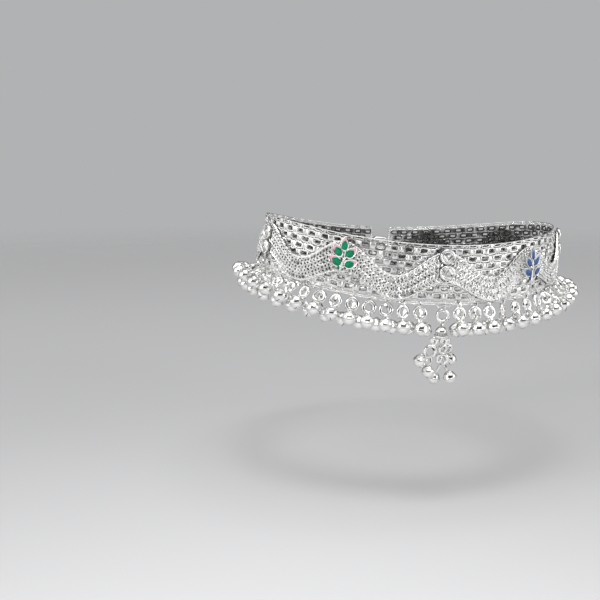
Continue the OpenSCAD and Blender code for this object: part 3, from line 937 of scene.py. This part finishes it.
# How much wider and thicker a strand's rings are drawn than the part has them, and their pitch
STRAND_MORE_OD, STRAND_MORE_WIRE, STRAND_PITCH = 0.4, 0.48, math.radians(8)
# The ring linked to each: its diameter as a share, its wire, and how far inward and down it lies
INNER_SHARE, INNER_WIRE, INNER_IN, INNER_DOWN = 0.87, 0.7, 0.3, 0.2
BAR_R, BAR_BEND, BAR_TOP = 0.3, 0.3, 0.85
# Turns of a strand's rings in degrees, from its top, and of the inner ring linked to each
STRAND_TURNS, INNER_TURNS = (-20, 14, -16), (40, -48, 52)
# The strands: rings as across, inward, down from the pivot and outer diameter, and bells as the first three
STRANDS = [
    ("left", [(-2, 0, 10.1, 2.3), (-2.9, 0, 13.2, 4.4)], [(-6.2, -0.9, 15.7), (-3.5, -1.1, 18.8)]),
    ("middle", [(0.9, 0, 10.1, 2.4), (0.8, 0, 12.4, 2.9), (0.9, 0, 15.3, 3.6)],
     [(-0.9, 1.2, 21.3), (3.1, -1.3, 20.4)]),
    ("right", [(1.9, 1.1, 10.4, 2.4), (2.9, 1.1, 12.5, 2.8)], [(4, 2, 15.9)]),
]


def at_pivot(shape):
    """A shape in the drop's own upright axes, hung on the worn loop."""
    turn = float(turn_at(0.0))
    flat = np.array([LOOP_HALF_LENGTH * math.cos(turn), LOOP_HALF_WIDTH * math.sin(turn)])
    out = BAND_FLARE * (1 - PIVOT_V / BAND_H)
    pivot = np.array([flat[0], flat[1] - out, PIVOT_V - BAND_H / 2 + SADDLE * math.cos(2 * turn)])
    return ((shape[0] + pivot) @ WORN.T, *shape[1:])


def drop():
    """The bar, which stays with the band, and the hoop, cap and three strands, which swing."""
    corner = [(BAR_BEND * (1 - math.cos(a)), BAR_BEND * (1 - math.sin(a)))
              for a in np.radians(np.linspace(0, 90, 5))]
    left = [(-BAR_HALF, 0, BAR_TOP), *[(-BAR_HALF + x, 0, z) for x, z in corner]]
    path = left + [(-x, y, z) for x, y, z in left[::-1]]
    make_piece("drop_staple", [at_pivot(tube(path, BAR_R, 8, closed=False))], ["drop_bar"])

    wrap, crosswise = ring(WRAP_OD, WRAP_WIRE, 16, 6), turned("z", math.pi / 2)
    wraps = [placed(wrap, (x, 0, 0), crosswise) for x in WRAPS_AT]
    main = placed(ring(HOOP_OD, HOOP_WIRE, 30, 9), (0, 0, -DROP_RING_DOWN))
    make_piece("drop_hoop", [at_pivot(x) for x in (*wraps, main)], ["drop_ring"], body="drop")

    r, base = CAP_D / 2, -CAP_DOWN - CAP_H
    shapes = [lathe([(share * r, base + up) for share, up in profile], 28, recess)
              for profile, recess in ((SKIRT, 0.0), (CROWN, 0.0), (GROOVE, GROOVE_RECESS))]
    grain = [(GRAIN_R * math.sin(a), GRAIN_R * math.cos(a)) for a in np.radians([12, 50, 90, 130, 168])]
    grain, out = lathe(grain, 7), GRAINS_OUT * r
    for a in np.linspace(0, 2 * math.pi, GRAINS, endpoint=False):
        shapes.append(placed(grain, (out * math.cos(a), out * math.sin(a), base + GRAINS_UP)))
    shapes.append(placed(ring(EYE_D, EYE_WIRE, 18, 7), (0, 0, -EYE_DOWN), crosswise))
    make_piece("drop_dome", [at_pivot(x) for x in shapes], ["drop_cap"], body="drop")

    for word, rings, bells in STRANDS:
        shapes = []
        for number, (across, inward, down, outer_d) in enumerate(rings):
            turn = turned("z", math.radians(STRAND_TURNS[number])) @ turned("x", STRAND_PITCH)
            outer = ring(outer_d + STRAND_MORE_OD, STRAND_WIRE + STRAND_MORE_WIRE, 22, 8)
            shapes.append(placed(outer, (across, inward, -down), turn))
            turn = turned("z", math.radians(INNER_TURNS[number]))
            inner = ring(outer_d * INNER_SHARE, INNER_WIRE, 18, 6)
            shapes.append(placed(inner, (across, inward + INNER_IN, -down - INNER_DOWN), turn))
        last_ring = rings[-1]
        middle = np.array([last_ring[0], last_ring[1], -last_ring[2]])
        for across, inward, down in bells:
            centre = np.array([across, inward, -down], float)
            away = (centre - middle) * (1, 0, 1)
            held = middle + away / np.linalg.norm(away) * (last_ring[3] - STRAND_WIRE) / 2
            shapes.append(bell(DROP_BELL_D, centre, held, *DROP_LOOP))
        make_piece(f"drop_{word}", [at_pivot(x) for x in shapes], [f"drop_strand_{word}"], body="drop")


# Clasp: plain rounded bar between the ends

CLASP_HALF_H, CLASP_GAP = 4.5, 0.25
CLASP_LAYERS = [(0.9, 1.15), (0.98, 0.95), (1.0, 0.6), (1.0, -0.6), (0.98, -0.95), (0.9, -1.12), (0.5, -1.2)]


def clasp():
    """The bar, at the far end of the loop."""
    outline = oval_path(CLASP_ROOM / 2 - CLASP_GAP, CLASP_HALF_H, 32, 5.0)[:, [0, 2]]
    bar = plate(outline, CLASP_LAYERS)
    origin = on_band([(HALF_RUN, 0, BAND_H / 2)])[0]
    bar = placed(bar, origin, wall_axes(HALF_RUN))
    make_piece("clasp_bar", [bar], ["clasp"], SILVER_MESH)


# Stage, light and camera

FLOOR_Z = -75.0
# The rest of the floor and the lights are in metres and watts
FLOOR_HALF, FADE_FROM, FADE_TO = 3.0, 0.35, 1.3
FLOOR_TONE = (0.46, 0.46, 0.465)
# One row a soft light: name, place, diameter and power
SOFTBOXES = [
    ("top_softbox", (0.05, -0.05, 0.55), 0.3, 0.9),
    ("key_softbox", (-0.58, -0.2, 0.35), 0.2, 1.0),
    ("fill_softbox", (0.5, -0.35, 0.2), 0.14, 0.4),
]
POOL_AT, POOL_POWER, POOL_ANGLE, POOL_R = (-0.06, -0.21, 0.45), 12.0, math.radians(54), 0.1
CAMERA_AT = (-66.1, -211.0, 23.9)
CAMERA_YAW, CAMERA_PITCH = math.radians(-8.0), math.radians(-10.6)
# The lens and the sensor are in millimetres, and the nearest point seen is in metres
LENS, SENSOR, NEAREST = 39.0, 36.0, 0.005
BACKDROP = (0.44, 0.445, 0.45)
# Brightness of the room in front and behind, of its panels, and of the flag
ROOM, ROOM_BEHIND, PANEL, FLAG = 0.85, 0.16, 1.15, 0.0
# The room is lit about the direction from which the object is seen
ROOM_AZIMUTH = math.radians(-17)


def make_world():
    """Grey room with bright panels left, right and above, and a dark flag behind the camera."""
    world = bpy.data.worlds.new("studio")
    bpy.context.scene.world = world
    world.use_nodes = True
    n = Nodes(world.node_tree)
    direction = n.add("ShaderNodeTexCoord").outputs["Generated"]

    def along(*way):
        node = n.add("ShaderNodeVectorMath", {0: direction, 1: way}, operation="DOT_PRODUCT")
        return node.outputs["Value"]

    def times(*values):
        product = values[0]
        for value in values[1:]:
            product = n.math("MULTIPLY", product, value)
        return product

    def grey(value):
        return (value, 1.005 * value, 1.01 * value, 1)

    # Each panel starts and ends between two cosines of the angle from an axis
    front = along(math.sin(ROOM_AZIMUTH), -math.cos(ROOM_AZIMUTH), 0)
    across = along(math.cos(ROOM_AZIMUTH), math.sin(ROOM_AZIMUTH), 0)
    up = along(0, 0, 1)
    sides = n.math("ADD", n.ramp(across, -0.5, -0.64), n.ramp(across, 0.6, 0.74))
    sides = times(sides, n.ramp(front, -0.5, -0.3), n.ramp(up, 0.62, 0.5))
    panels = n.math("MAXIMUM", sides, n.ramp(up, 0.66, 0.82))
    flag = times(
        n.ramp(n.math("ABSOLUTE", across), 0.78, 0.64),
        n.ramp(n.math("ABSOLUTE", n.math("SUBTRACT", up, 0.45)), 0.26, 0.2),
        n.ramp(front, 0.0, 0.1),
    )
    room = n.mix(n.ramp(front, -0.1, -0.6), grey(ROOM), grey(ROOM_BEHIND))
    room = n.mix(flag, n.mix(panels, room, grey(PANEL)), grey(FLAG))
    seen = n.mix(n.add("ShaderNodeLightPath").outputs["Is Camera Ray"], room, (*BACKDROP, 1))
    background = n.add("ShaderNodeBackground", {"Color": seen, "Strength": 1.0})
    n.add("ShaderNodeOutputWorld", {"Surface": background.outputs[0]})


def make_floor():
    """Pale floor that fades into the backdrop."""
    mesh = bpy.data.meshes.new("floor")
    half = FLOOR_HALF
    corners = [(-half, -half, 0), (half, -half, 0), (half, half, 0), (-half, half, 0)]
    mesh.from_pydata(corners, [], [(0, 1, 2, 3)])
    floor = linked("floor", mesh)
    floor.location.z = FLOOR_Z * MM
    material, n, place = new_material("pale_floor")
    radius = n.add("ShaderNodeVectorMath", {0: place}, operation="LENGTH").outputs["Value"]
    fade = n.ramp(radius, FADE_FROM, FADE_TO)
    shader = n.add("ShaderNodeBsdfPrincipled", {"Base Color": (*FLOOR_TONE, 1), "Roughness": 0.9})
    clear = n.add("ShaderNodeBsdfTransparent")
    both = n.add("ShaderNodeMixShader", {0: fade, 1: shader.outputs[0], 2: clear.outputs[0]})
    n.add("ShaderNodeOutputMaterial", {"Surface": both.outputs[0]})
    mesh.materials.append(material)


def make_light(name, place, size, power):
    """Round soft light that faces the object."""
    data = bpy.data.lights.new(name, "AREA")
    data.shape, data.size, data.energy = "DISK", size, power
    light = linked(name, data)
    light.location = place
    light.visible_camera = False
    light.rotation_euler = Vector(place).to_track_quat("Z", "Y").to_euler()


def make_pool():
    """Soft spot straight down on the near floor, which the silver above it mirrors."""
    data = bpy.data.lights.new("floor_light", "SPOT")
    data.energy, data.shadow_soft_size = POOL_POWER, POOL_R
    data.spot_size, data.spot_blend = POOL_ANGLE, 1.0
    light = linked("floor_light", data)
    light.location = POOL_AT
    light.visible_camera = light.visible_glossy = False


def make_camera():
    """Camera where the photograph was taken from."""
    data = bpy.data.cameras.new("camera")
    data.lens, data.sensor_width, data.clip_start = LENS, SENSOR, NEAREST
    camera = linked("camera", data)
    camera.location = np.array(CAMERA_AT) * MM
    camera.rotation_euler = (math.pi / 2 + CAMERA_PITCH, 0, CAMERA_YAW)
    bpy.context.scene.camera = camera


make_camera()
mesh_band()
wave_lattice()
double_rings()
sprigs("green", GREEN_CRESTS, GREEN_V, GREEN)
sprigs("blue", BLUE_CRESTS, BLUE_V, BLUE, BLUE_SLIM)
fringe()
drop()
clasp()
make_world()
make_floor()
for softbox in SOFTBOXES:
    make_light(*softbox)
make_pool()
bpy.context.scene.view_settings.view_transform = "Standard"
